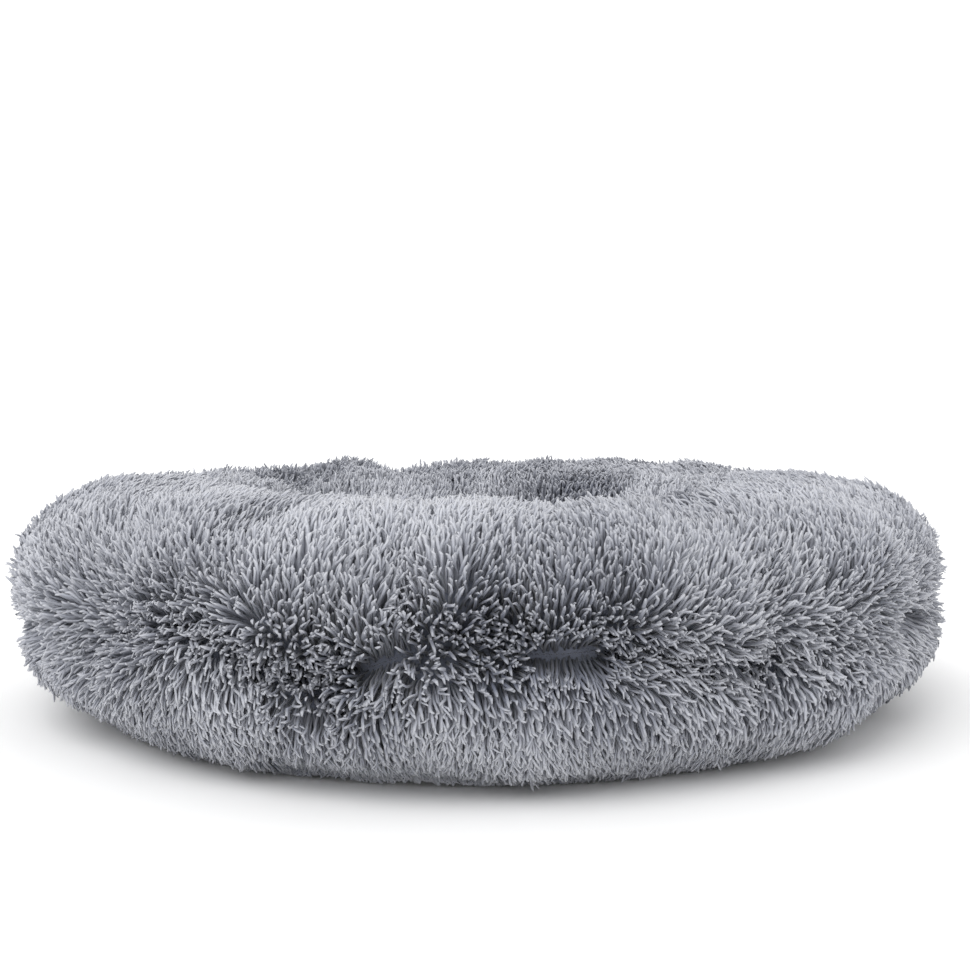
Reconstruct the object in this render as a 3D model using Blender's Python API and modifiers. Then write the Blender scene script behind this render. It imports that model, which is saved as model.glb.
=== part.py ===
"""Round pet cushion bed: a fur-covered bolster ring round a padded nest floor, on a woven base with a zip.

Metres, +Z up, resting on z = 0, centred on the Z axis. The front of the bed faces -Y. The zip runs along X
across the underside. Every panel, bag, filling and zip part is an object of its own.
"""

import math

import bmesh
import bpy

# Overall sizes
OUTER_RADIUS = 0.400  # to the tips of the pile
HEIGHT = 0.190  # to the tips of the pile
NEST_RADIUS = 0.160  # clear radius inside the rim, at its narrowest
PILE = 0.030  # length of the pile that stands off the backing on the rim
NEST_PILE = 0.022  # the same on the nest floor, where it is shorter
ROUNDNESS = 2.4  # exponent of the rim's section: 2 is an ellipse, more is squarer

# Fabric, seams and fillings
BASE_THICKNESS = 0.0010
BASE_SEAM_LEVEL = 0.00852  # height of the seam between the base and the side panel, on the backing
BASE_CLEARANCE = 0.0020  # rim backing's lowest point above the floor
BOLSTER_GAP = 0.0025  # bolster to the cover round it
SEAM_HEIGHT = 0.095  # seam between the top and the side panel, on the outside
SEAM_GAP = 0.0020  # room for a seam's thread between two panels
THREAD_RADIUS = 0.0005
LINER_THICKNESS = 0.0006
TOUCH_GAP = 0.0003  # between pieces that touch
NEST_FLOOR = 0.050  # height of the nest floor's backing
NEST_BACKING = 0.0010
PAD_EDGE_GAP = 0.0040  # pad to bolster
PAD_EDGE_ROUND = 0.018
FILL_SLIT = 0.090  # length of the slit in each liner, closed by hand after filling
FILL_SLIT_HEIGHT = 0.004

# Zip, across the middle of the base
ZIP_LEVEL = 0.0090  # height of the tapes' middle plane
ZIP_HALF_LENGTH = 0.1680  # middle of the zip to the face of either stop
STOP_LENGTH = 0.0040
TAPE_WIDTH = 0.0143
TAPE_THICKNESS = 0.0007
TAPE_TAIL = 0.017
COIL_INNER = 0.0009  # centre line to coil, which leaves the way for the slider's post
COIL_WIDTH = 0.0025
COIL_HALF_HEIGHT = 0.0011
WINDOW_MARGIN = 0.0015  # panel edge to slider
LIFT_FLAT = 0.0140  # half width of the raised band that carries the zip
LIFT_SLOPE = 0.0160
LIFT_END = 0.0280  # length over which the band runs out at each end

# Slider and pull
RUN_CLEARANCE = 0.0004
SLIDER_LENGTH = 0.0130
SLIDER_WALL = 0.0012
POST_WIDTH = 0.0010
POST_LENGTH = 0.0025
CROWN_WIDTH = 0.0016
CROWN_BAR = 0.0010
CROWN_ROOM = 0.0022  # under the crown, where the pull's bar turns
CROWN_HALF_LENGTH = 0.0037
PULL_BAR_RADIUS = 0.0007
PULL_THICKNESS = 0.0012
PULL_WIDTH = 0.0070
PULL_LENGTH = 0.0240
PULL_ARM = 0.0012
PULL_EYE = 0.0052  # length of the eye that the crown passes through
PULL_TIP_GAP = 0.0003  # tip to floor at rest

# Label
LABEL_WIDTH = 0.030
LABEL_LENGTH = 0.034
LABEL_THICKNESS = 0.0008
LABEL_LEVEL = 0.0010

# Resolution
RING_STEPS = 64
ARC_STEPS = 16

# Worked out from the sizes above
RIM_CENTRE = (OUTER_RADIUS + NEST_RADIUS) / 2
PILE_HALF_WIDTH = (OUTER_RADIUS - NEST_RADIUS) / 2
PILE_HALF_HEIGHT = HEIGHT / 2
BACKING_HALF_WIDTH = PILE_HALF_WIDTH - PILE
BACKING_TOP = HEIGHT - PILE * 14 / 15
BACKING_HALF_HEIGHT = (BACKING_TOP - BASE_CLEARANCE) / 2
BACKING_CENTRE_HEIGHT = (BACKING_TOP + BASE_CLEARANCE) / 2
COIL_OUTER = COIL_INNER + COIL_WIDTH
TAPE_INNER = COIL_OUTER + TOUCH_GAP
CHAMBER_HALF_WIDTH = COIL_OUTER + RUN_CLEARANCE
CHAMBER_HALF_HEIGHT = COIL_HALF_HEIGHT + RUN_CLEARANCE
SLOT_HALF_HEIGHT = TAPE_THICKNESS / 2 + RUN_CLEARANCE
SLIDER_HALF_WIDTH = CHAMBER_HALF_WIDTH + SLIDER_WALL
SLIDER_HALF_HEIGHT = CHAMBER_HALF_HEIGHT + SLIDER_WALL
SLIDER_REST_X = ZIP_HALF_LENGTH - TOUCH_GAP - SLIDER_LENGTH / 2
WINDOW_HALF_WIDTH = SLIDER_HALF_WIDTH + WINDOW_MARGIN
WINDOW_HALF_LENGTH = ZIP_HALF_LENGTH + STOP_LENGTH + WINDOW_MARGIN
ZIP_LIFT = ZIP_LEVEL - TAPE_THICKNESS / 2 - TOUCH_GAP - BASE_THICKNESS
SLIDER_BOTTOM = ZIP_LEVEL - SLIDER_HALF_HEIGHT
PIVOT_HEIGHT = SLIDER_BOTTOM - CROWN_ROOM / 2
PULL_TILT = math.asin((PIVOT_HEIGHT - PULL_THICKNESS / 2 - PULL_TIP_GAP) / PULL_LENGTH)
LIFT_EDGE = SLIDER_REST_X + PULL_LENGTH + WINDOW_MARGIN * 2


def clear_scene():
    for thing in list(bpy.data.objects):
        bpy.data.objects.remove(thing, do_unlink=True)


def make_collection(name):
    collection = bpy.data.collections.new(name)
    bpy.context.scene.collection.children.link(collection)
    return collection


def make_material(name, colour, roughness, metallic=0.0):
    material = bpy.data.materials.new(name)
    material.use_nodes = True
    shader = material.node_tree.nodes["Principled BSDF"]
    shader.inputs["Base Color"].default_value = (*colour, 1.0)
    shader.inputs["Roughness"].default_value = roughness
    shader.inputs["Metallic"].default_value = metallic
    return material


def add_object(name, bm, material=None, cutter=False):
    """A mesh object from bm: a part of the bed, or a cutter that is only there for a Boolean."""
    mesh = bpy.data.meshes.new(name)
    bm.to_mesh(mesh)
    bm.free()
    thing = bpy.data.objects.new(name, mesh)
    if cutter:
        CUTTERS.objects.link(thing)
        thing.hide_render = True
        thing.display_type = "WIRE"
    else:
        BED.objects.link(thing)
        mesh.materials.append(material)
    return thing


def combine(thing, other, operation="DIFFERENCE"):
    modifier = thing.modifiers.new(f"{operation.title()} {other.name}", "BOOLEAN")
    modifier.object = other
    modifier.operation = operation
    modifier.solver = "EXACT"


def superellipse(t, half_width, half_height, centre_height):
    """Point of a rim section at angle t, from the outer side (0) over the top (90 degrees) to the inside."""
    c, s = math.cos(t), math.sin(t)
    across = half_width * math.copysign(abs(c) ** (2 / ROUNDNESS), c)
    up = half_height * math.copysign(abs(s) ** (2 / ROUNDNESS), s)
    return RIM_CENTRE + across, centre_height + up


def pile_point(t):
    return superellipse(t, PILE_HALF_WIDTH, PILE_HALF_HEIGHT, PILE_HALF_HEIGHT)


def backing_point(t, inset=0.0):
    return superellipse(
        t, BACKING_HALF_WIDTH - inset, BACKING_HALF_HEIGHT - inset, BACKING_CENTRE_HEIGHT
    )


def angle_where(point, wanted, low, high, which):
    """Angle between low and high at which the given coordinate of a section curve takes the wanted value."""
    rising = point(high)[which] > point(low)[which]
    for _ in range(60):
        middle = (low + high) / 2
        if (point(middle)[which] < wanted) == rising:
            low = middle
        else:
            high = middle
    return (low + high) / 2


def arc(point, start, end, steps):
    """Points of a section curve from one angle to another."""
    return [point(start + (end - start) * i / steps) for i in range(steps + 1)]


def turned(name, profile, material=None, cutter=False, closed=True):
    """A solid of revolution round Z. The profile's (radius, height) points run down its outer side."""
    bm = bmesh.new()
    verts = [bm.verts.new((radius, 0, height)) for radius, height in profile]
    for start, end in zip(verts, verts[1:]):
        bm.edges.new((start, end))
    if closed:
        bm.edges.new((verts[-1], verts[0]))
    thing = add_object(name, bm, material, cutter)
    screw = thing.modifiers.new("Turn", "SCREW")
    screw.steps = RING_STEPS
    screw.render_steps = RING_STEPS
    screw.use_merge_vertices = True
    screw.merge_threshold = 0.0001
    screw.use_smooth_shade = True
    return thing


def prism(name, outline, plane, low, high, material=None, cutter=False):
    """A flat outline drawn in the XY, XZ or YZ plane, extruded from low to high along the third axis."""
    place = {
        "XY": lambda a, b, c: (a, b, c),
        "XZ": lambda a, b, c: (a, c, b),
        "YZ": lambda a, b, c: (c, a, b),
    }[plane]
    bm = bmesh.new()
    face = bm.faces.new([bm.verts.new(place(a, b, low)) for a, b in outline])
    moved = bmesh.ops.extrude_face_region(bm, geom=[face])["geom"]
    bmesh.ops.translate(
        bm,
        vec=place(0, 0, high - low),
        verts=[item for item in moved if isinstance(item, bmesh.types.BMVert)],
    )
    bmesh.ops.recalc_face_normals(bm, faces=bm.faces)
    return add_object(name, bm, material, cutter)


def box(name, low, high, material=None, cutter=False):
    outline = [(low[0], low[1]), (high[0], low[1]), (high[0], high[1]), (low[0], high[1])]
    return prism(name, outline, "XY", low[2], high[2], material, cutter)


def bevel(thing, width, segments=2):
    modifier = thing.modifiers.new("Rounded edges", "BEVEL")
    modifier.width = width
    modifier.segments = segments
    modifier.limit_method = "ANGLE"


def ring(name, radius, height, material):
    """A sewn line of thread that goes right round the bed."""
    bpy.ops.mesh.primitive_torus_add(
        major_radius=radius, minor_radius=THREAD_RADIUS, major_segments=RING_STEPS, minor_segments=6
    )
    thing = bpy.context.object
    thing.name = name
    thing.location.z = height
    for collection in list(thing.users_collection):
        collection.objects.unlink(thing)
    BED.objects.link(thing)
    thing.data.materials.append(material)
    thing.data.shade_smooth()


def rim_covers(fur):
    """The two fur panels, from the backing to the tips of the pile."""
    seam_in_pile = angle_where(pile_point, SEAM_HEIGHT + SEAM_GAP / 2, -1.0, 1.0, 1)
    seam_in_backing = angle_where(backing_point, SEAM_HEIGHT + SEAM_GAP / 2, -1.0, 1.0, 1)
    nest_level = NEST_FLOOR + SEAM_GAP
    nest_in_pile = angle_where(pile_point, nest_level, math.pi / 2, math.pi * 1.4, 1)
    nest_in_backing = angle_where(backing_point, nest_level, math.pi / 2, math.pi * 1.4, 1)
    outside = arc(pile_point, nest_in_pile, seam_in_pile, ARC_STEPS)
    inside = arc(backing_point, seam_in_backing, nest_in_backing, ARC_STEPS)
    turned("rim_cover_top", outside + inside, fur)

    edge = BASE_RADIUS + SEAM_GAP
    low_pile = angle_where(pile_point, edge, -math.pi / 2, 0.0, 0)
    low_backing = angle_where(backing_point, edge, -math.pi / 2, 0.0, 0)
    high_pile = angle_where(pile_point, SEAM_HEIGHT - SEAM_GAP / 2, -1.0, 1.0, 1)
    high_backing = angle_where(backing_point, SEAM_HEIGHT - SEAM_GAP / 2, -1.0, 1.0, 1)
    outside = arc(pile_point, high_pile, low_pile, ARC_STEPS // 2)
    inside = arc(backing_point, low_backing, high_backing, ARC_STEPS // 2)
    turned("rim_cover_side", outside + inside, fur)


def nest_cover(fur):
    """The nest floor's panel: a backing out to the seam, and pile as far as the rim's own pile."""
    reach = BACKING_INNER_AT_NEST - SEAM_GAP
    pile_edge = NEST_RADIUS - TOUCH_GAP
    top = NEST_FLOOR + NEST_PILE
    rounding = NEST_PILE / 2
    profile = [
        (0.0, top),
        (pile_edge * 0.6, top),
        (pile_edge - rounding, top - 0.002),
        (pile_edge, top - rounding),
        (pile_edge, NEST_FLOOR + TOUCH_GAP),
        (reach, NEST_FLOOR + TOUCH_GAP),
        (reach, NEST_FLOOR + TOUCH_GAP - NEST_BACKING),
        (0.0, NEST_FLOOR + TOUCH_GAP - NEST_BACKING),
    ]
    return turned("nest_cover", profile, fur, closed=False)


def bolster_profile(inset):
    return arc(lambda t: backing_point(t, inset), 2 * math.pi, 0.0, ARC_STEPS)[:-1]


def bolster(liner_cloth, fibre):
    """The ring that fills the rim, and the bag round it with the slit through which it is filled."""
    outer = BOLSTER_GAP + LINER_THICKNESS
    liner = turned("bolster_liner", bolster_profile(BOLSTER_GAP), liner_cloth)
    combine(liner, turned("bolster_liner_inside", bolster_profile(outer), cutter=True))
    side = RIM_CENTRE - BACKING_HALF_WIDTH
    slit = box(
        "bolster_slit",
        (-FILL_SLIT / 2, side - 0.010, BACKING_CENTRE_HEIGHT - FILL_SLIT_HEIGHT / 2),
        (FILL_SLIT / 2, side + 0.012, BACKING_CENTRE_HEIGHT + FILL_SLIT_HEIGHT / 2),
        cutter=True,
    )
    combine(liner, slit)
    turned("bolster_fill", bolster_profile(outer + TOUCH_GAP), fibre)


def pad_profile(inset):
    """Section of the flat pad in the nest, with rounded edges."""
    radius = RIM_CENTRE - BACKING_HALF_WIDTH - PAD_EDGE_GAP - inset
    low = BASE_THICKNESS + BASE_CLEARANCE / 2 + inset
    high = NEST_FLOOR - NEST_BACKING - inset
    rounding = PAD_EDGE_ROUND
    corner = radius - rounding
    upper = [
        (corner + rounding * math.cos(a), high - rounding + rounding * math.sin(a))
        for a in (math.pi / 2 * i / 4 for i in range(4, -1, -1))
    ]
    lower = [
        (corner + rounding * math.cos(a), low + rounding - rounding * math.sin(a))
        for a in (math.pi / 2 * i / 4 for i in range(5))
    ]
    return [(0.0, high)] + upper + lower + [(0.0, low)]


def pad_channel(name, inset):
    """The hollow under the pad in which the raised band of the zip lies."""
    top = ZIP_LEVEL + SLIDER_HALF_HEIGHT + 0.0015 + inset
    foot = LIFT_FLAT + LIFT_SLOPE + 0.006 + inset
    head = LIFT_FLAT + 0.006 + inset
    outline = [(-foot, -0.002), (foot, -0.002), (head, top), (-head, top)]
    return prism(name, outline, "YZ", -RIM_CENTRE, RIM_CENTRE, cutter=True)


def pad(liner_cloth, fibre):
    """The flat pad and its bag."""
    outer = LINER_THICKNESS
    liner = turned("pad_liner", pad_profile(0.0), liner_cloth, closed=False)
    combine(liner, pad_channel("pad_channel", 0.0))
    inside = turned("pad_liner_inside", pad_profile(outer), cutter=True, closed=False)
    combine(inside, pad_channel("pad_channel_inside", outer))
    combine(liner, inside)
    edge = RIM_CENTRE - BACKING_HALF_WIDTH - PAD_EDGE_GAP
    middle = (BASE_THICKNESS + NEST_FLOOR) / 2
    slit = box(
        "pad_slit",
        (-FILL_SLIT / 2, edge - 0.012, middle - FILL_SLIT_HEIGHT / 2),
        (FILL_SLIT / 2, edge + 0.002, middle + FILL_SLIT_HEIGHT / 2),
        cutter=True,
    )
    combine(liner, slit)
    fill = turned("pad_fill", pad_profile(outer + TOUCH_GAP), fibre, closed=False)
    combine(fill, pad_channel("pad_channel_fill", outer + TOUCH_GAP))


def ramp(distance, flat, slope):
    """1 up to flat, then down to 0 over slope, with a smooth start and end."""
    share = min(max((distance - flat) / slope, 0.0), 1.0)
    return 1 - share * share * (3 - 2 * share)


def base_height(x, y):
    """Height of the base's underside: flat on the floor, up under the rim's edge and over the zip."""
    zip_band = ZIP_LIFT * ramp(abs(y), LIFT_FLAT, LIFT_SLOPE) * ramp(abs(x), LIFT_EDGE, LIFT_END)
    radius = math.hypot(x, y)
    share = max(radius - RIM_CENTRE, 0.0) / BACKING_HALF_WIDTH
    curl = BACKING_HALF_HEIGHT * (1 - (1 - share**ROUNDNESS) ** (1 / ROUNDNESS))
    return zip_band + curl * 0.9


def base_half(name, side, cloth):
    """Half of the woven base, from the middle seam (y = 0) to the round edge. side is -1 for the front."""
    near = TOUCH_GAP / 2
    rows = [near, WINDOW_HALF_WIDTH, LIFT_FLAT]
    rows += [LIFT_FLAT + LIFT_SLOPE * share for share in (0.25, 0.5, 0.75, 1.0)]
    last = rows[-1]
    sweep = [math.sin(math.pi / 2 * i / 10) for i in range(1, 10)]
    rows += [last + (BASE_RADIUS - last) * share for share in sweep] + [BASE_RADIUS * 0.9995]
    columns = 44
    bm = bmesh.new()
    bmesh.ops.create_grid(bm, x_segments=columns, y_segments=len(rows) - 1, size=1.0)
    for vert in bm.verts:
        row = rows[round((vert.co.y + 1) / 2 * (len(rows) - 1))]
        turn = vert.co.x * math.acos(0.0)
        x = math.sin(turn) * math.sqrt(BASE_RADIUS**2 - row**2)
        vert.co = (x, side * row, base_height(x, row))
    if side < 0:
        bmesh.ops.reverse_faces(bm, faces=bm.faces)
    half = add_object(name, bm, cloth)
    solidify = half.modifiers.new("Cloth thickness", "SOLIDIFY")
    solidify.thickness = BASE_THICKNESS
    solidify.offset = 1.0
    window = box(
        f"{name}_window",
        (-WINDOW_HALF_LENGTH, -WINDOW_HALF_WIDTH, -0.002),
        (WINDOW_HALF_LENGTH, WINDOW_HALF_WIDTH, ZIP_LEVEL + 0.004),
        cutter=True,
    )
    combine(half, window)


def zip_side(word, side, tape_cloth, coil_plastic, stop_metal):
    """One tape with its coil and top stop. side is -1 for the front."""
    tail = ZIP_HALF_LENGTH + TAPE_TAIL
    edges = sorted((side * TAPE_INNER, side * (TAPE_INNER + TAPE_WIDTH)))
    half = TAPE_THICKNESS / 2
    box(
        f"zip_tape_{word}",
        (-tail, edges[0], ZIP_LEVEL - half),
        (tail, edges[1], ZIP_LEVEL + half),
        tape_cloth,
    )
    edges = sorted((side * COIL_INNER, side * COIL_OUTER))
    end = ZIP_HALF_LENGTH - TOUCH_GAP
    low, high = ZIP_LEVEL - COIL_HALF_HEIGHT, ZIP_LEVEL + COIL_HALF_HEIGHT
    coil = box(f"zip_coil_{word}", (-end, edges[0], low), (end, edges[1], high), coil_plastic)
    bevel(coil, COIL_HALF_HEIGHT * 0.6)
    start = ZIP_HALF_LENGTH
    stop = box(
        f"zip_top_stop_{word}",
        (start, edges[0], low),
        (start + STOP_LENGTH, edges[1], high),
        stop_metal,
    )
    bevel(stop, COIL_HALF_HEIGHT * 0.3)


def bottom_stop(stop_metal):
    low = (-ZIP_HALF_LENGTH - STOP_LENGTH, -COIL_OUTER, ZIP_LEVEL - COIL_HALF_HEIGHT)
    high = (-ZIP_HALF_LENGTH, COIL_OUTER, ZIP_LEVEL + COIL_HALF_HEIGHT)
    bevel(box("zip_bottom_stop", low, high, stop_metal), COIL_HALF_HEIGHT * 0.3)


def slider_plate(name, up, material=None, cutter=False):
    """One of the slider's two flanged plates, above the tapes (up is 1) or below them (up is -1)."""
    outline = [
        (-SLIDER_HALF_WIDTH, up * SLIDER_HALF_HEIGHT),
        (SLIDER_HALF_WIDTH, up * SLIDER_HALF_HEIGHT),
        (SLIDER_HALF_WIDTH, up * SLOT_HALF_HEIGHT),
        (CHAMBER_HALF_WIDTH, up * SLOT_HALF_HEIGHT),
        (CHAMBER_HALF_WIDTH, up * CHAMBER_HALF_HEIGHT),
        (-CHAMBER_HALF_WIDTH, up * CHAMBER_HALF_HEIGHT),
        (-CHAMBER_HALF_WIDTH, up * SLOT_HALF_HEIGHT),
        (-SLIDER_HALF_WIDTH, up * SLOT_HALF_HEIGHT),
    ]
    return prism(name, outline, "YZ", -SLIDER_LENGTH / 2, SLIDER_LENGTH / 2, material, cutter)


def slider(metal):
    """Two flanged plates held apart by the post, with the crown below. Its origin is at its own middle."""
    body = slider_plate("zip_slider", 1, material=metal)
    sunk = SLIDER_WALL / 2
    reach = CHAMBER_HALF_HEIGHT + sunk
    front = SLIDER_LENGTH / 2 - TOUCH_GAP
    post = box(
        "slider_post",
        (front - POST_LENGTH, -POST_WIDTH / 2, -reach),
        (front, POST_WIDTH / 2, reach),
        cutter=True,
    )
    foot = -SLIDER_HALF_HEIGHT + sunk
    roof = -SLIDER_HALF_HEIGHT - CROWN_ROOM
    outer, inner = CROWN_HALF_LENGTH, CROWN_HALF_LENGTH - CROWN_BAR
    outline = [
        (-outer, foot),
        (-outer, roof - CROWN_BAR * 0.4),
        (-outer + CROWN_BAR * 0.6, roof - CROWN_BAR),
        (outer - CROWN_BAR * 0.6, roof - CROWN_BAR),
        (outer, roof - CROWN_BAR * 0.4),
        (outer, foot),
        (inner, foot),
        (inner, roof),
        (-inner, roof),
        (-inner, foot),
    ]
    crown = prism("slider_crown", outline, "XZ", -CROWN_WIDTH / 2, CROWN_WIDTH / 2, cutter=True)
    joined = [slider_plate("slider_lower_plate", -1, cutter=True), post, crown]
    for piece in joined:
        combine(body, piece, "UNION")
    for piece in [body] + joined:
        piece.location = (SLIDER_REST_X, 0, ZIP_LEVEL)


def pull(metal):
    """The pull tab. Its origin is on its bar, which turns under the slider's crown."""
    arm_inner = CROWN_WIDTH / 2 + RUN_CLEARANCE
    arm_outer = arm_inner + PULL_ARM
    half = PULL_WIDTH / 2
    shoulder = PULL_EYE + 0.003
    end = PULL_LENGTH
    outline = [
        (0, -arm_outer),
        (0, -arm_inner),
        (-PULL_EYE, -arm_inner),
        (-PULL_EYE, arm_inner),
        (0, arm_inner),
        (0, arm_outer),
        (-PULL_EYE, arm_outer),
        (-shoulder, half),
        (-end + half * 0.6, half),
        (-end + half * 0.15, half * 0.7),
        (-end, half * 0.25),
        (-end, -half * 0.25),
        (-end + half * 0.15, -half * 0.7),
        (-end + half * 0.6, -half),
        (-shoulder, -half),
        (-PULL_EYE, -arm_outer),
    ]
    thick = PULL_THICKNESS / 2
    tab = prism("zip_pull", outline, "XY", -thick, thick, metal)
    bm = bmesh.new()
    bmesh.ops.create_cone(
        bm,
        cap_ends=True,
        segments=16,
        radius1=PULL_BAR_RADIUS,
        radius2=PULL_BAR_RADIUS,
        depth=2 * arm_outer,
    )
    bar = add_object("pull_bar", bm, cutter=True)
    bar.rotation_euler.x = math.pi / 2
    combine(tab, bar, "UNION")
    for piece in (tab, bar):
        piece.location = (SLIDER_REST_X, 0, PIVOT_HEIGHT)
    tab.rotation_euler.y = -PULL_TILT


def care_label(satin):
    """A blank folded label, sewn into the base seam at the back, lying on the floor side of the pile."""
    start = BASE_RADIUS + SEAM_GAP + 0.001
    label = box(
        "care_label",
        (-LABEL_WIDTH / 2, start, LABEL_LEVEL),
        (LABEL_WIDTH / 2, start + LABEL_LENGTH, LABEL_LEVEL + LABEL_THICKNESS),
        satin,
    )
    bevel(label, LABEL_THICKNESS * 0.3, 1)


def seam_threads(thread):
    middle = angle_where(backing_point, SEAM_HEIGHT, -1.0, 1.0, 1)
    ring("side_seam_thread", backing_point(middle)[0] + THREAD_RADIUS, SEAM_HEIGHT, thread)
    edge = BASE_RADIUS + SEAM_GAP / 2
    ring("base_seam_thread", edge, base_height(edge, 0) + BASE_THICKNESS, thread)
    nest = BACKING_INNER_AT_NEST - SEAM_GAP / 2
    ring("nest_seam_thread", nest, NEST_FLOOR + SEAM_GAP / 2 - 0.0005, thread)


clear_scene()
BED = make_collection("Pet cushion bed")
CUTTERS = make_collection("Cutters")
BASE_RADIUS = backing_point(angle_where(backing_point, BASE_SEAM_LEVEL, -math.pi / 2, 0.0, 1))[0]
BACKING_INNER_AT_NEST = backing_point(
    angle_where(backing_point, NEST_FLOOR, math.pi / 2, math.pi * 1.4, 1)
)[0]

rim_fur = make_material("Rim fur", (0.330, 0.345, 0.390), 0.9)
nest_fur = make_material("Nest fur", (0.380, 0.395, 0.440), 0.9)
liner_cloth = make_material("Liner cloth", (0.86, 0.86, 0.85), 0.85)
fibre = make_material("Polyester fibre", (0.93, 0.93, 0.92), 1.0)
base_cloth = make_material("Base cloth", (0.085, 0.090, 0.105), 0.75)
tape_cloth = make_material("Zip tape", (0.060, 0.062, 0.070), 0.8)
coil_plastic = make_material("Zip coil", (0.045, 0.047, 0.055), 0.45)
zip_metal = make_material("Zip metal", (0.24, 0.24, 0.25), 0.35, 1.0)
thread = make_material("Thread", (0.300, 0.310, 0.345), 0.7)
satin = make_material("Label satin", (0.88, 0.88, 0.86), 0.5)

rim_covers(rim_fur)
nest_cover(nest_fur)
bolster(liner_cloth, fibre)
pad(liner_cloth, fibre)
base_half("base_panel_front", -1, base_cloth)
base_half("base_panel_rear", 1, base_cloth)
zip_side("front", -1, tape_cloth, coil_plastic, zip_metal)
zip_side("rear", 1, tape_cloth, coil_plastic, zip_metal)
bottom_stop(zip_metal)
slider(zip_metal)
pull(zip_metal)
seam_threads(thread)
care_label(satin)
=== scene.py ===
"""Looks of the round pet cushion bed: a stuffed rim and nest under long grey faux fur, on a woven base.

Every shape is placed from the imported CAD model. The rim's backing is one lumpy surface with a sewn seam
half way down its outside, and each clump of pile is a tapered tube that grows from it.
"""

import math

import bmesh
import bpy
import numpy as np
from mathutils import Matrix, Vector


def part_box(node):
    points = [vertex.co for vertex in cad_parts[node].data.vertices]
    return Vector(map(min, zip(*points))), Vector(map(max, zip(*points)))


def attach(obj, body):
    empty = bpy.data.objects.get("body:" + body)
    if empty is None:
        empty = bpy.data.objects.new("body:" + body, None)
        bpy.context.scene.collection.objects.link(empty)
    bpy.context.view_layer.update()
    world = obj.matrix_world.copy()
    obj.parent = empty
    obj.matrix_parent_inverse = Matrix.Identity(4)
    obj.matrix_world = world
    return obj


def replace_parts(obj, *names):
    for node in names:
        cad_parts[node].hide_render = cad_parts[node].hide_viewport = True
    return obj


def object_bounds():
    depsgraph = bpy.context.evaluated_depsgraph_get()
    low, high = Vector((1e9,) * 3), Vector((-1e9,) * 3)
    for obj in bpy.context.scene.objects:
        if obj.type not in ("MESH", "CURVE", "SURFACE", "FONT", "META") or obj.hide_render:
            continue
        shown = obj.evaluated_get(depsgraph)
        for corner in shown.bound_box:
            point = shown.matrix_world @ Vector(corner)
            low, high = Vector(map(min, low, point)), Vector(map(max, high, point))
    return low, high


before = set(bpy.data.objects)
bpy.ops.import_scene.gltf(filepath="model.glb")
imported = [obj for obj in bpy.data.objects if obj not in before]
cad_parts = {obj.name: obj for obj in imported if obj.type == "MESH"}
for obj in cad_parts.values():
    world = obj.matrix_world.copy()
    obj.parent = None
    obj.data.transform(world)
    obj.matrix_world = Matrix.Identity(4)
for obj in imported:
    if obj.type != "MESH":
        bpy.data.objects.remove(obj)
CAD_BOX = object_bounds()
TAU = 2 * math.pi

# Backing
ROUNDNESS = 2.4  # exponent of the rim's section
BACKING_OVER_BAG = 0.0025  # backing to the bag inside it
LOBE_HEIGHT, LOBE_SIZE = 0.0060, 0.042
RIPPLE_HEIGHT, RIPPLE_SIZE = 0.0020, 0.017
SEAM_DEPTH, SEAM_HALF_WIDTH = 0.0090, 0.016
SEAM_WANDER, WANDER_SIZE, WANDER_SEED = 0.0075, 0.15, 1060
PUCKER_HEIGHT, PUCKERS, PUCKER_REACH = 0.0036, 38, 0.050
EDGE_FADE = 0.030
# Where the crest sags, or swells if negative: degrees round the bed, and depth
DIPS = ((-122, 0.006), (-97, -0.010), (-64, 0.004), (38, 0.003), (128, 0.001))
DIP_HALF_WIDTH, DIP_REACH = 14, 0.085  # degrees, and along the section from the crest
SMALLEST_HEIGHT = 0.0022  # of the backing over the floor

# Pile, in clumps of fibres
CLUMP_SPACING = 0.00265
CLUMP_RADIUS = 0.00110
CLUMP_SIDES = 3
CLUMP_RINGS = (0.0, 0.40, 0.68, 0.91, 1.0)
CLUMP_TAPER = (0.85, 0.95, 1.0, 1.0, 0.55)
PILE_LENGTH = 0.031
CURL = 0.075  # share of the length that a clump waves to either side
NEST_PILE_LENGTH = 0.024
NEST_CROWN, NEST_BUMP = 0.006, 0.0018
CLUMPS_PER_PIECE = 7800
SIZE_SPREAD = 0.22  # clumps are this share thicker or thinner
TONE_WIDTH = 0.004  # of one side of a clump on the map
FLOOR_CLEARANCE = 0.0008
BASE_EDGE_ROOM = 0.0030  # pile to the base's edge
PRESS_FROM = 0.94  # share of the CAD rim's outline at which the pile starts to give
LOW_SIDE = -0.03  # height from the pile's middle, below which less stays of what stands out
LOW_KEEP, HIGH_KEEP = 0.38, 0.50

# Parting of the pile along the side seam: open in places, and hidden under curled tips between them
PARTING_SIZE, PARTING_SEED = 0.075, 5500
PARTING_CLOSED, PARTING_OPEN = 0.0004, 0.0022
PAINTED_SHADE_PATCHES = 2  # patches of painted shade along the side seam, round the bed, one of them at the front
INNER_SHADE, INNER_AT, INNER_HALF = 0.38, 62, 22  # painted shade on the pile inside the rim: how much, and where in degrees
NUB_REACH = 0.020  # how far from the seam the pile stands up, short and curled
NUB_THINNING = 0.18

# Lean of the rim's pile along the section, over its height: at the seam, and gained over COMB_REACH
COMB_ABOVE, COMB_ABOVE_GAIN = 0.45, 0.65
COMB_BELOW, COMB_BELOW_GAIN = 0.55, 0.85
COMB_REACH = 0.040
COMB_AT_BASE, COMB_INSIDE = 0.5, 2.0  # gained towards the base, and lost inside the rim
COMB_OPEN, OPEN_REACH = 0.4, 0.015  # gained beside the open parting
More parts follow.
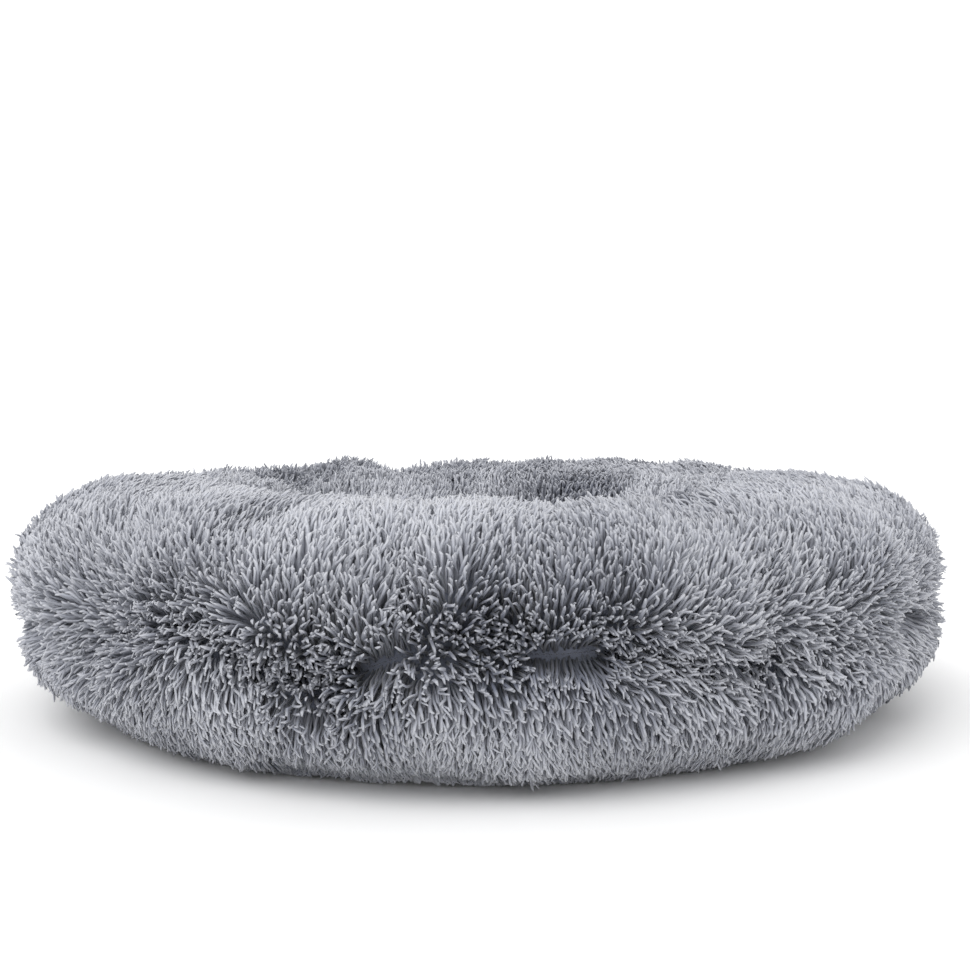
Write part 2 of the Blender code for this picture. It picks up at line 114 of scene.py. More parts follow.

# Tone of the rim's clumps, from 0 (dark) to 1 (light): random in part, and in part painted shade and painted
# light
# Painted light inside the rim past its top; painted shade towards the base, along the side seam, and on the
# short curled pile in the seam's patches
RIM_TONE, PAINTED_INNER_LIGHT, PAINTED_BASE_SHADE, PAINTED_SEAM_SHADE, PAINTED_NUB_SHADE = 0.84, 0.30, 0.36, 0.50, 0.25
# Painted shade along the side seam: how far it reaches, its strength all round, and its extra strength in the
# patches
SEAM_SHADE_REACH, SEAM_SHADE, PATCH_SHADE = 0.034, 0.06, 1.04
MOTTLE, MOTTLE_SIZE, TONE_SPREAD = 0.16, 0.026, 0.06

# The bolster's bag and fibre, from the backing inwards
BAG_INSET, FIBRE_INSET = 0.0022, 0.0036

# Nest pad, blown up by a cloth simulation
PAD_VOXEL = 0.005
PAD_PRESSURE = 4.0
PAD_FRAMES = 20
PAD_CAP = 0.006
PAD_REACH = 0.1878
PAD_UNDERSIDE = 0.026  # below this the pad lies on the base and over the zip, and may not sag
PAD_UNDER_NEST = 0.0012
PAD_BAG_CLOTH = 0.0012  # the pad's fibre inside its bag

# Base, zip, label and seams
BASE_LIFT = 0.0005
BASE_RIPPLE = 0.0004
DOT_SPACING, DOT_RADIUS, DOT_HEIGHT = 0.0135, 0.0016, 0.0005
DOT_START, DOT_REACH = 0.032, 0.283
DOT_ROWS = 0.866  # row spacing over dot spacing
STITCH_PITCH, FINE_PITCH = 0.0040, 0.0026
STITCH_SHARE = 0.80  # of the pitch
THREAD_RADIUS = 0.00042
STITCH_FROM_COIL = 0.0072
TAPE_TO_STITCH = 0.0012
TAPE_CLOTH = 0.00055
TAPE_WAVE = 0.00006
COIL_PITCH, COIL_WIRE = 0.0013, 0.00030
LABEL_CLOTH = 0.00022
LABEL_CURL = 0.0004
METAL_EDGE = 0.00018

CAMERA_PITCH = 3.89  # degrees below level


def radii(node):
    """Smallest and largest distance of a CAD node's points from the Z axis."""
    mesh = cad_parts[node].data
    points = np.empty(len(mesh.vertices) * 3)
    mesh.vertices.foreach_get("co", points)
    points = points.reshape(-1, 3)
    return np.hypot(points[:, 0], points[:, 1]).min(), np.hypot(points[:, 0], points[:, 1]).max()


def middle_height(node):
    low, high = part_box(node)
    return (low[2] + high[2]) / 2


BAG_INNER, BAG_OUTER = radii("bolster_liner")
BAG_LOW, BAG_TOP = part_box("bolster_liner")[0][2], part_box("bolster_liner")[1][2]
RIM_CENTRE = (BAG_INNER + BAG_OUTER) / 2
RIM_HALF_WIDTH = (BAG_OUTER - BAG_INNER) / 2 + BACKING_OVER_BAG
RIM_HALF_HEIGHT = (BAG_TOP - BAG_LOW) / 2 + BACKING_OVER_BAG
RIM_MIDDLE = (BAG_TOP + BAG_LOW) / 2
PILE_HALF_WIDTH = (CAD_BOX[1][0] - CAD_BOX[0][0]) / 2 - RIM_CENTRE
PILE_HALF_HEIGHT = CAD_BOX[1][2] / 2
BASE_SEAM_RADIUS = sum(radii("base_seam_thread")) / 2
NEST_SEAM_RADIUS = sum(radii("nest_seam_thread")) / 2
BASE_SEAM_LEVEL = middle_height("base_seam_thread")
SIDE_SEAM_HEIGHT = middle_height("side_seam_thread")
NEST_SEAM_HEIGHT = middle_height("nest_seam_thread")


def noise(points, size, seed):
    """Smooth seeded noise of about unit spread; size is how far apart its ups and downs are, over about 4."""
    rng = np.random.default_rng(seed)
    waves = rng.normal(size=(points.shape[-1], 28)) / size
    phase = rng.uniform(0, TAU, 28)
    return np.cos(points @ waves + phase).sum(axis=-1) / math.sqrt(14)


def smooth_step(x):
    x = np.clip(x, 0, 1)
    return x * x * (3 - 2 * x)


def unit(vectors):
    return vectors / np.maximum(np.linalg.norm(vectors, axis=-1, keepdims=True), 1e-12)


# The rim's section, by arc length from the base seam up the outside, over the top and down to the nest
def section(angle):
    c, s = np.cos(angle), np.sin(angle)
    reach = (np.abs(c / RIM_HALF_WIDTH) ** ROUNDNESS + np.abs(s / RIM_HALF_HEIGHT) ** ROUNDNESS) ** (
        -1 / ROUNDNESS
    )
    return RIM_CENTRE + reach * c, RIM_MIDDLE + reach * s


_angles = np.linspace(-math.pi / 2, 1.35 * math.pi, 2400)
_radius, _height = section(_angles)
_first = np.argmax(_radius > BASE_SEAM_RADIUS + 0.001)
_inside = (_angles > math.pi / 2) & (_height < NEST_SEAM_HEIGHT + 0.001)
_last = np.argmax(_inside)
_radius, _height = _radius[_first:_last], _height[_first:_last]
_run = np.concatenate([[0], np.cumsum(np.hypot(np.diff(_radius), np.diff(_height)))])
RUN_END = _run[-1]
RUN_SEAM = np.interp(SIDE_SEAM_HEIGHT, _height[: len(_height) // 3], _run[: len(_run) // 3])
RUN_TOP = _run[np.argmax(_height)]


def seam_run(theta):
    """Where the side seam runs at an angle round the bed: it wanders a little, as a sewn one does."""
    around = np.stack([np.cos(theta), np.sin(theta)], axis=-1)
    return RUN_SEAM + SEAM_WANDER * noise(around, WANDER_SIZE, WANDER_SEED)


def push_out(theta, run, place):
    """How far the stuffing pushes the backing out: lobes, ripples, puckers at the seam, and its groove."""
    around = np.stack([np.cos(theta), np.sin(theta)], axis=-1)
    from_seam = run - seam_run(theta)
    lobes = LOBE_HEIGHT * noise(place, LOBE_SIZE, 1)
    ripples = RIPPLE_HEIGHT * noise(place, RIPPLE_SIZE, 2)
    groove = SEAM_DEPTH * (1 + 0.25 * noise(around, 0.12, 3)) * np.exp(-((from_seam / SEAM_HALF_WIDTH) ** 2))
    phase = PUCKERS * theta + 1.6 * noise(around, 0.16, 4)
    near = np.exp(-((np.abs(from_seam) / PUCKER_REACH) ** 1.6)) - 0.8 * np.exp(-((from_seam / 0.008) ** 2))
    puckers = PUCKER_HEIGHT * np.cos(phase) * near
    for middle, depth in DIPS:
        away = (np.degrees(theta) - middle + 180) % 360 - 180
        shape = np.exp(-((away / DIP_HALF_WIDTH) ** 4) - (np.abs(run - RUN_TOP) / DIP_REACH) ** 3)
        lobes = lobes - depth * shape
    fade = smooth_step(run / EDGE_FADE) * smooth_step((RUN_END - run) / EDGE_FADE)
    return (lobes + ripples + puckers) * fade - groove


def around_axis(theta, radius, height):
    return np.stack([radius * np.cos(theta), radius * np.sin(theta), height], axis=-1)


def rim_surface(theta, run):
    """Points of the stuffed rim's backing."""
    radius, height = np.interp(run, _run, _radius), np.interp(run, _run, _height)
    ahead = np.clip(run + 0.0005, 0, RUN_END)
    behind = np.clip(run - 0.0005, 0, RUN_END)
    dr = np.interp(ahead, _run, _radius) - np.interp(behind, _run, _radius)
    dh = np.interp(ahead, _run, _height) - np.interp(behind, _run, _height)
    length = np.maximum(np.hypot(dr, dh), 1e-9)
    push = push_out(theta, run, around_axis(theta, radius, height))
    radius = radius + push * dh / length
    height = np.maximum(height - push * dr / length, SMALLEST_HEIGHT)
    return around_axis(theta, radius, height)


def bag_surface(theta, angle, inset):
    """Points of a closed ring inside the backing, inset from it: the bolster's bag, or what fills it."""
    radius, height = section(angle)
    run = np.interp(angle, _angles[_first:_last], _run)
    push = push_out(theta, run, around_axis(theta, radius, height)) - inset
    step = 1e-3
    r0, h0 = section(angle - step)
    r1, h1 = section(angle + step)
    length = np.hypot(r1 - r0, h1 - h0)
    radius = radius + push * (h1 - h0) / length
    height = np.maximum(height - push * (r1 - r0) / length, SMALLEST_HEIGHT)
    return around_axis(theta, radius, height)


def section_way(theta, run):
    """Outward direction of the smooth section, without the lobes and the groove."""
    ends = np.clip([run - 0.002, run + 0.002], 0, RUN_END)
    dr, dh = (np.diff(np.interp(ends, _run, values), axis=0)[0] for values in (_radius, _height))
    return unit(around_axis(theta, dh, -dr))


def rim_frame(theta, run):
    """Points, outward normals and the two directions along the surface: up its outside, and round the bed."""
    step = 0.0012
    points = rim_surface(theta, run)
    along = unit(rim_surface(theta, run + step) - rim_surface(theta, run - step))
    turn = step / np.hypot(points[:, 0], points[:, 1])
    around = unit(rim_surface(theta + turn, run) - rim_surface(theta - turn, run))
    return points, unit(np.cross(around, along)), along, around


# Meshes
def mesh_object(name, points, loops, sizes, body, smooth=True, uv=None):
    """An object from flat arrays of corners and face sizes."""
    mesh = bpy.data.meshes.new(name)
    mesh.vertices.add(len(points))
    mesh.vertices.foreach_set("co", np.ascontiguousarray(points, np.float32).ravel())
    mesh.loops.add(len(loops))
    mesh.loops.foreach_set("vertex_index", np.ascontiguousarray(loops, np.int32))
    mesh.polygons.add(len(sizes))
    mesh.polygons.foreach_set("loop_start", np.concatenate([[0], np.cumsum(sizes)[:-1]]).astype(np.int32))
    mesh.polygons.foreach_set("use_smooth", np.full(len(sizes), smooth))
    if uv is not None:
        layer = mesh.uv_layers.new(name="OFBake")
        layer.data.foreach_set("uv", np.ascontiguousarray(uv, np.float32).ravel())
    mesh.update(calc_edges=True)
    piece = bpy.data.objects.new(name, mesh)
    bpy.context.scene.collection.objects.link(piece)
    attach(piece, body)
    return piece


def grid_object(name, points, body, close):
    """A sheet from a grid of points (rows, columns, 3); close joins the last column to the first."""
    rows, columns = points.shape[:2]
    reach = columns if close else columns - 1
    i, j = np.meshgrid(np.arange(rows - 1), np.arange(reach), indexing="ij")
    k = (j + 1) % columns
    faces = np.stack([i * columns + j, i * columns + k, (i + 1) * columns + k, (i + 1) * columns + j], -1)
    loops = faces.reshape(-1)
    return mesh_object(name, points.reshape(-1, 3), loops, np.full(len(loops) // 4, 4), body)


def grow(name, pile, material, pressed=True):
    """Clumps of pile as blunt tapered tubes, in pieces of at most CLUMPS_PER_PIECE, in the order given.
    pile holds an array for each of root, way, bend, length, curl, tone and turn."""
    made = []
    share = np.array(CLUMP_RINGS)
    taper = np.array(CLUMP_TAPER) * CLUMP_RADIUS
    sides, rings = CLUMP_SIDES, len(CLUMP_RINGS)
    total = len(pile["root"])
    pieces = math.ceil(total / CLUMPS_PER_PIECE)
    for number, chosen in enumerate(np.array_split(np.arange(total), pieces), start=1):
        part = {key: values[chosen] for key, values in pile.items()}
        root, way, bend, length = part["root"], part["way"], part["bend"], part["length"]
        tone, turn = part["tone"], part["turn"]
        across = unit(np.cross(way, np.where(np.abs(way[:, 2:]) < 0.9, [[0, 0, 1.0]], [[1.0, 0, 0]])))
        other = np.cross(way, across)
        curl_way = across * np.cos(turn)[:, None] + other * np.sin(turn)[:, None]
        t = share[None, :, None]
        curl = part["curl"][:, None, None] * np.sin(t * 8.5 + turn[:, None, None] * 3) * t**1.5
        line = way[:, None] * t + bend[:, None] * t**2 + curl_way[:, None] * curl
        line = root[:, None] + line * length[:, None, None]
        if pressed:
            press(line)
        line[..., 2] = np.maximum(line[..., 2], FLOOR_CLEARANCE + taper[None, :] * 0.6)
        corner = np.arange(sides) * TAU / sides
        ring = (
            across[:, None, None] * np.cos(corner)[None, None, :, None]
            + other[:, None, None] * np.sin(corner)[None, None, :, None]
        )
        size = (1 + SIZE_SPREAD * np.sin(turn * 5))[:, None, None, None]
        points = line[:, :, None] + ring * taper[None, :, None, None] * size
        points[..., 2] = np.maximum(points[..., 2], 0.0002)
        count = len(chosen)
        start = (np.arange(count) * rings * sides)[:, None, None]
        i, j = np.meshgrid(np.arange(rings - 1), np.arange(sides), indexing="ij")
        k = (j + 1) % sides
        quads = np.stack([i * sides + j, i * sides + k, (i + 1) * sides + k, (i + 1) * sides + j], -1)
        quads = quads.reshape(-1, 4)[None] + start
        caps = ((rings - 1) * sides + np.arange(sides))[None, None] + start
        u = np.stack([j, j + 1, j + 1, j], -1).reshape(-1, 4)[None] * TONE_WIDTH + tone[:, None, None]
        v = np.stack([share[i], share[i], share[i + 1], share[i + 1]], -1).reshape(-1, 4)
        v = np.broadcast_to(v[None] * 0.97 + 0.005, u.shape)
        cap_u = tone[:, None, None] + np.array([0, TONE_WIDTH, TONE_WIDTH])[None, None]
        cap_v = np.broadcast_to(np.array([0.975, 0.975, 0.99])[None, None], cap_u.shape)
        loops = np.concatenate([quads.reshape(count, -1), caps.reshape(count, -1)], axis=1).reshape(-1)
        uv = np.stack(
            [
                np.concatenate([u.reshape(count, -1), cap_u.reshape(count, -1)], axis=1),
                np.concatenate([v.reshape(count, -1), cap_v.reshape(count, -1)], axis=1),
            ],
            axis=-1,
        )
        sizes = np.tile([4] * len(quads[0]) + [3], count)
        piece = mesh_object(
            f"{name}_{number:02d}", points.reshape(-1, 3), loops, sizes, "bed", uv=uv.reshape(-1, 2)
        )
        piece.data.materials.append(material)
        made.append(piece)
    return made


def even_roots(run_start, run_end, radius_of, seed):
    """Roots spread evenly with a little jitter, as (angle, run), in order round the bed."""
    rng = np.random.default_rng(seed)
    angles, runs = [], []
    for run in np.arange(run_start, run_end, CLUMP_SPACING):
        count = max(int(TAU * radius_of(run) / CLUMP_SPACING), 1)
        angles.append((np.arange(count) + rng.uniform(0, 1) + rng.uniform(-0.45, 0.45, count)) * TAU / count)
        runs.append(np.abs(run + rng.uniform(-0.5, 0.5, count) * CLUMP_SPACING))
    angles, runs = np.concatenate(angles) % TAU, np.concatenate(runs)
    order = np.argsort(angles)
    return angles[order], runs[order]


def press(points):
    """Presses pile that stands out of the CAD rim's outline back towards it, and keeps it off the base."""
    radius = np.hypot(points[..., 0], points[..., 1])
    across, up = radius - RIM_CENTRE, points[..., 2] - PILE_HALF_HEIGHT
    share = (np.abs(across / PILE_HALF_WIDTH) ** ROUNDNESS + np.abs(up / PILE_HALF_HEIGHT) ** ROUNDNESS) ** (
        1 / ROUNDNESS
    )
    over = np.maximum(share - PRESS_FROM, 0)
    keep = np.where(up < LOW_SIDE, LOW_KEEP, HIGH_KEEP)
    scale = np.where(over > 0, (PRESS_FROM + over * keep) / np.maximum(share, 1e-6), 1.0)
    moved = RIM_CENTRE + across * scale
    points[..., 2] = PILE_HALF_HEIGHT + up * scale
    at_base = (points[..., 2] < BASE_SEAM_LEVEL + BASE_EDGE_ROOM) & (radius > RIM_CENTRE)
    moved = np.where(at_base, np.maximum(moved, BASE_SEAM_RADIUS + BASE_EDGE_ROOM), moved)
    points[..., :2] *= (moved / radius)[..., None]


def opening(theta):
    """From 0, where curled tips hide the side seam, to 1, where the pile lies open along it."""
    around = np.stack([np.cos(theta), np.sin(theta)], axis=-1)
    towards_front = 0.5 - 0.5 * np.sin(theta)
    wide = smooth_step((noise(around, PARTING_SIZE, PARTING_SEED) - 0.15) / 0.75)
    return wide * (0.4 + 0.6 * towards_front)


def rim_pile(material):
    """The pile of the rim: combed up above the side seam and down below it, so that it parts there."""
    theta, run = even_roots(0.001, RUN_END - 0.001, lambda run: np.interp(run, _run, _radius), 11)
    rng = np.random.default_rng(13)
    open_here = opening(theta)
    from_seam = run - seam_run(theta)
    nub = np.exp(-((from_seam / NUB_REACH) ** 2)) * (1 - open_here)
    parting = PARTING_CLOSED + (PARTING_OPEN - PARTING_CLOSED) * open_here * rng.uniform(0.4, 1, len(theta))
    keep = (np.abs(from_seam) > parting) & (rng.uniform(size=len(theta)) > NUB_THINNING * nub)
    theta, run, from_seam = theta[keep], run[keep], from_seam[keep]
    nub, open_here = nub[keep], open_here[keep]
    points, normals, along, around = rim_frame(theta, run)
    count = len(theta)
    above, below = np.maximum(from_seam, 0), np.maximum(-from_seam, 0)
    normals = unit(normals + 1.6 * section_way(theta, run))
    past_top = np.clip((run - RUN_TOP) / (RUN_END - RUN_TOP), 0, 1)
    to_base = np.clip(1 - run / RUN_SEAM, 0, 1)
    up = COMB_ABOVE + COMB_ABOVE_GAIN * smooth_step(above / COMB_REACH)
    up -= COMB_INSIDE * smooth_step(past_top * 1.8)
    down = COMB_BELOW + COMB_BELOW_GAIN * smooth_step(below / COMB_REACH)
    down += COMB_AT_BASE * to_base**2
    edge = COMB_OPEN * open_here * np.exp(-((from_seam / OPEN_REACH) ** 2))
    up, down = up + edge, down + edge
    comb = np.where(from_seam > 0, up, -down) * (1 - 0.85 * nub)
    swirl = 0.11 * noise(points, 0.014, 14) + 0.12 * noise(points, 0.034, 19)
    sway = 0.13 * noise(points, 0.014, 15) + 0.24 * noise(points, 0.038, 16)
    way = normals + along * (comb + swirl)[:, None] + around * sway[:, None]
    way = unit(way + rng.normal(size=(count, 3)) * (0.075 + 0.12 * nub)[:, None])
    length = PILE_LENGTH * (1 - 0.30 * nub - 0.25 * to_base**2) * (1 + 0.08 * rng.normal(size=count))
    length *= 1 + 0.10 * noise(points, 0.03, 17)
    room = np.maximum(points[:, 2] - 0.002, 0.0) / length
    way[:, 2] = np.maximum(way[:, 2], -room - 0.10)
    # Painted shade along the side seam, strongest in patches at the front and the back of the bed
    shade_patch = (0.5 + 0.5 * np.cos(PAINTED_SHADE_PATCHES * (theta + math.pi / 2))) ** 5
    dark = np.exp(-((from_seam / SEAM_SHADE_REACH) ** 2)) * (SEAM_SHADE + PATCH_SHADE * shade_patch)
    # Painted light inside the rim past its top, and painted shade towards the base, along the side seam and
    # on the curled pile in its patches
    tone = RIM_TONE + PAINTED_INNER_LIGHT * past_top - PAINTED_BASE_SHADE * to_base - PAINTED_SEAM_SHADE * dark - PAINTED_NUB_SHADE * nub * shade_patch
    tone += MOTTLE * noise(points, MOTTLE_SIZE, 18)
    tone += TONE_SPREAD * rng.normal(size=count)
    # Painted shade on the pile inside the rim, round one angle of the bed
    inner = np.exp(-(((np.degrees(theta) - INNER_AT) / INNER_HALF) ** 4))
    tone -= INNER_SHADE * smooth_step(2 * past_top) * inner
    pile = {
        "root": points,
        "way": unit(way),
        "bend": rng.normal(scale=0.09, size=(count, 3)) + [0, 0, -0.07],
        "length": length,
        "curl": CURL * (1 + 0.9 * nub),
        "tone": np.clip(tone, 0.02, 0.97),
        "turn": rng.uniform(0, TAU, count),
    }
    sides = {"side": from_seam < 0, "top": from_seam >= 0}
    return {
        word: grow(f"rim_pile_{word}", {k: v[chosen] for k, v in pile.items()}, material)
        for word, chosen in sides.items()
    }


def nest_height(x, y):
    """Height of the nest floor's backing, crowned by the pad under it."""
    share = np.clip(np.hypot(x, y) / NEST_SEAM_RADIUS, 0, 1)
    place = np.stack([x, y], axis=-1)
    crown = NEST_CROWN * (1 - share**2.5)
    return NEST_SEAM_HEIGHT + crown + NEST_BUMP * noise(place, 0.030, 21) * (1 - share**4)


def nest_pile(material):
    """The shorter pile of the nest floor, pressed into swirls."""
    theta, radius = even_roots(0.0, NEST_SEAM_RADIUS - 0.002, lambda radius: radius, 31)
    x, y = radius * np.cos(theta), radius * np.sin(theta)
    points = np.stack([x, y, nest_height(x, y)], axis=-1)
    rng = np.random.default_rng(32)
    count = len(theta)
    flat = points * [1, 1, 0]
    lean = np.stack([noise(flat, 0.022, 33), noise(flat, 0.022, 34), np.zeros(count)], axis=-1) * 0.32
    inward = -unit(flat) * (0.9 * np.clip(radius / NEST_SEAM_RADIUS, 0, 1) ** 4)[:, None]
    way = unit([0, 0, 1.0] + lean + inward + rng.normal(scale=0.10, size=(count, 3)))
    pile = {
        "root": points,
        "way": way,
        "bend": rng.normal(scale=0.10, size=(count, 3)) + [0, 0, -0.10],
        "length": NEST_PILE_LENGTH * (1 + 0.10 * rng.normal(size=count)),
        "curl": np.full(count, CURL),
        "tone": np.clip(0.74 + 0.08 * noise(points, 0.028, 35) + 0.08 * rng.normal(size=count), 0.02, 0.97),
        "turn": rng.uniform(0, TAU, count),
    }
    return grow("nest_pile", pile, material, pressed=False)


def pile_material(name):
    """Pile whose colour runs darker towards the root: painted shade deep between the clumps. u of the map is
    the clump's tone, random in part and in part painted shade and light, and v runs from root to tip.
    """
    material = bpy.data.materials.new(name)
    material.use_nodes = True
    nodes, links = material.node_tree.nodes, material.node_tree.links
    shader = nodes["Principled BSDF"]
    shader.inputs["Roughness"].default_value = 0.62
    shader.inputs["Specular IOR Level"].default_value = 0.35
    shader.inputs["Sheen Weight"].default_value = 0.25
    shader.inputs["Sheen Roughness"].default_value = 0.5
    where = nodes.new("ShaderNodeUVMap")
    where.uv_map = "OFBake"
    split = nodes.new("ShaderNodeSeparateXYZ")
    links.new(where.outputs["UV"], split.inputs["Vector"])
    ramps = []
    for stops in (DARK_CLUMP, LIGHT_CLUMP):
        ramp = nodes.new("ShaderNodeValToRGB")
        ramp.color_ramp.interpolation = "EASE"
        elements = ramp.color_ramp.elements
        while len(elements) < len(stops):
            elements.new(0.5)
        for element, (place, colour) in zip(elements, stops):
            element.position = place
            element.color = (*colour, 1)
        links.new(split.outputs["Y"], ramp.inputs["Fac"])
        ramps.append(ramp)
    mix = nodes.new("ShaderNodeMix")
    mix.data_type = "RGBA"
    links.new(split.outputs["X"], mix.inputs["Factor"])
    links.new(ramps[0].outputs["Color"], mix.inputs["A"])
    links.new(ramps[1].outputs["Color"], mix.inputs["B"])
    links.new(mix.outputs["Result"], shader.inputs["Base Color"])
    return material


# Root-to-tip colours at the dark and light ends of the tone. Their darker roots are painted shade deep
# between the clumps; the near-black dark end is reached mostly where painted shade lowers the tone.
DARK_CLUMP = (
    (0.00, (0.011, 0.013, 0.020)),
    (0.35, (0.032, 0.037, 0.058)),
    (0.72, (0.112, 0.124, 0.170)),
    (1.00, (0.365, 0.376, 0.418)),
)
LIGHT_CLUMP = (
    (0.00, (0.462, 0.484, 0.562)),
    (0.35, (0.504, 0.521, 0.588)),
    (0.72, (0.532, 0.546, 0.598)),
    (1.00, (0.544, 0.554, 0.594)),
)


class Look:
    """A Principled material in the making: nodes on object coordinates, in metres."""

    def __init__(self, name, roughness, metallic=0.0, sheen=0.0):
        self.material = bpy.data.materials.new(name)
        self.material.use_nodes = True
        tree = self.material.node_tree
        self.nodes, self.links = tree.nodes, tree.links
        self.shader = self.nodes["Principled BSDF"]
        self.shader.inputs["Roughness"].default_value = roughness
        self.shader.inputs["Metallic"].default_value = metallic
        self.shader.inputs["Sheen Weight"].default_value = sheen
        self.place = self.nodes.new("ShaderNodeTexCoord").outputs["Object"]

    def noise(self, size, detail=3.0, stretch=(1, 1, 1)):
        """Noise whose ups and downs are about size metres apart."""
        node = self.nodes.new("ShaderNodeTexNoise")
        node.inputs["Scale"].default_value = 1 / size
        node.inputs["Detail"].default_value = detail
        if stretch == (1, 1, 1):
            self.links.new(self.place, node.inputs["Vector"])
        else:
            scaled = self.nodes.new("ShaderNodeMapping")
            scaled.inputs["Scale"].default_value = stretch
            self.links.new(self.place, scaled.inputs["Vector"])
            self.links.new(scaled.outputs["Vector"], node.inputs["Vector"])
        return node.outputs["Fac"]

    def bands(self, pitch, direction, wobble=0.4):
        """Rounded ridges, one every pitch metres, across X, Y or along the diagonal."""
        node = self.nodes.new("ShaderNodeTexWave")
        node.bands_direction = direction
        node.inputs["Scale"].default_value = TAU / 20 / pitch
        node.inputs["Distortion"].default_value = wobble
        node.inputs["Detail"].default_value = 1.0
        self.links.new(self.place, node.inputs["Vector"])
        return node.outputs["Fac"]

    def combined(self, first, second, operation="MULTIPLY"):
        node = self.nodes.new("ShaderNodeMath")
        node.operation = operation
        self.links.new(first, node.inputs[0])
        self.links.new(second, node.inputs[1])
        return node.outputs["Value"]

    def colour(self, factor, dark, light, low=0.3, high=0.7):
        ramp = self.nodes.new("ShaderNodeValToRGB")
        for element, place, tint in zip(ramp.color_ramp.elements, (low, high), (dark, light)):
            element.position = place
            element.color = (*tint, 1)
        self.links.new(factor, ramp.inputs["Fac"])
        self.links.new(ramp.outputs["Color"], self.shader.inputs["Base Color"])

    def roughness(self, factor, low, high):
        node = self.nodes.new("ShaderNodeMapRange")
        node.inputs["To Min"].default_value = low
        node.inputs["To Max"].default_value = high
        self.links.new(factor, node.inputs["Value"])
        self.links.new(node.outputs["Result"], self.shader.inputs["Roughness"])

    def bump(self, height, depth, strength=0.8):
        node = self.nodes.new("ShaderNodeBump")
        node.inputs["Strength"].default_value = strength
        node.inputs["Distance"].default_value = depth
        self.links.new(height, node.inputs["Height"])
        self.links.new(node.outputs["Normal"], self.shader.inputs["Normal"])


def brushed_knit():
    """The slate knit that the pile is tufted into."""
    look = Look("brushed_knit", 0.92, sheen=0.4)
    loops = look.noise(0.0011, 2.0)
    shade = look.combined(loops, look.noise(0.020), "ADD")
    look.colour(shade, (0.068, 0.076, 0.104), (0.135, 0.148, 0.190), 0.75, 1.25)
    look.bump(loops, 0.0005)
    return look.material


def bag_cloth():
    """Thin dark non-woven cloth of the inner bags."""
    look = Look("bag_cloth", 0.85, sheen=0.15)
    dimples = look.combined(look.bands(0.0018, "X", 0), look.bands(0.0018, "Y", 0))
    look.colour(look.noise(0.006), (0.040, 0.043, 0.052), (0.070, 0.074, 0.086))
    look.bump(look.combined(dimples, look.noise(0.0007), "ADD"), 0.0002)
    return look.material


def fibre_fill():
    look = Look("fibre_fill", 1.0, sheen=0.6)
    strands = look.combined(look.noise(0.0022, 6.0, (1, 4, 4)), look.noise(0.0020, 6.0, (4, 1, 4)), "ADD")
    look.colour(strands, (0.74, 0.74, 0.73), (0.93, 0.93, 0.92), 0.8, 1.2)
    look.bump(strands, 0.0012)
    return look.material


def plain_weave(name, dark, light, pitch, roughness):
    """Over and under weave in the XY plane, one pair of yarns each pitch."""
    look = Look(name, roughness, sheen=0.1)
    weave = look.combined(look.bands(pitch, "X"), look.bands(pitch, "Y"))
    look.colour(look.combined(weave, look.noise(0.004), "ADD"), dark, light, 0.35, 1.2)
    look.bump(weave, pitch * 0.25)
    return look.material


def twill():
    look = Look("zip_twill", 0.8, sheen=0.1)
    ribs = look.bands(0.0007, "DIAGONAL", 0.2)
    look.colour(ribs, (0.030, 0.032, 0.038), (0.075, 0.078, 0.090), 0.1, 0.9)
    look.bump(ribs, 0.0002)
    return look.material


def worn_metal():
    """Dark plated die-cast metal, scratched along its run and worn brighter in places."""
    look = Look("zip_gunmetal", 0.35, metallic=1.0)
    scratches = look.noise(0.0009, 4.0, (0.15, 3, 3))
    look.colour(look.noise(0.0040, 4.0), (0.17, 0.17, 0.18), (0.36, 0.36, 0.37), 0.35, 0.68)
    look.roughness(scratches, 0.24, 0.50)
    look.bump(scratches, 0.00004, 0.5)
    return look.material


def nylon():
    look = Look("zip_nylon", 0.4)
    look.colour(look.noise(0.003), (0.030, 0.032, 0.037), (0.058, 0.060, 0.068))
    look.roughness(look.noise(0.0008), 0.30, 0.50)
    look.bump(look.noise(0.0004), 0.00003, 0.4)
    return look.material


def rubber():
    look = Look("grip_rubber", 0.6)
    look.colour(look.noise(0.002), (0.020, 0.021, 0.024), (0.040, 0.042, 0.047))
    look.roughness(look.noise(0.0012), 0.45, 0.70)
    look.bump(look.noise(0.0006), 0.00008, 0.5)
    return look.material


def sewing_thread():
    look = Look("sewing_thread", 0.65, sheen=0.2)
    twist = look.bands(0.0009, "DIAGONAL", 0.1)
    look.colour(twist, (0.070, 0.077, 0.100), (0.150, 0.160, 0.190), 0.1, 0.9)
    look.bump(twist, 0.00012)
    return look.material


def label_satin():
    look = Look("label_satin", 0.45, sheen=0.2)
    threads = look.bands(0.0004, "X", 0.1)
    shade = look.combined(threads, look.noise(0.003), "ADD")
    look.colour(shade, (0.74, 0.74, 0.72), (0.90, 0.90, 0.88), 0.4, 1.4)
    look.bump(threads, 0.00008)
    return look.material


def studio_paper():
    look = Look("studio_paper", 0.9)
    look.colour(look.noise(0.5), (0.89, 0.89, 0.89), (0.91, 0.91, 0.91))
    return look.material


def rim_backing(material, pile):
    """The knitted backing of both rim panels, which shows where the pile parts. Each is cut as one strip."""
    theta = np.linspace(0, TAU, 480, endpoint=False)
    seam = seam_run(theta)
    for word, low, high, rows, held in (
        ("side", np.zeros_like(seam), seam, 40, "stretched"),
        ("top", seam, np.full_like(seam, RUN_END), 84, "gathered"),
    ):
        run = low + (high - low) * np.linspace(0, 1, rows)[:, None]
        angle = np.broadcast_to(theta, run.shape)
        points = rim_surface(angle.ravel(), run.ravel()).reshape(*run.shape, 3)
        piece = grid_object(f"rim_backing_{word}", points, "bed", close=True)
        piece.data.materials.append(material)
        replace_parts(piece, f"rim_cover_{word}")


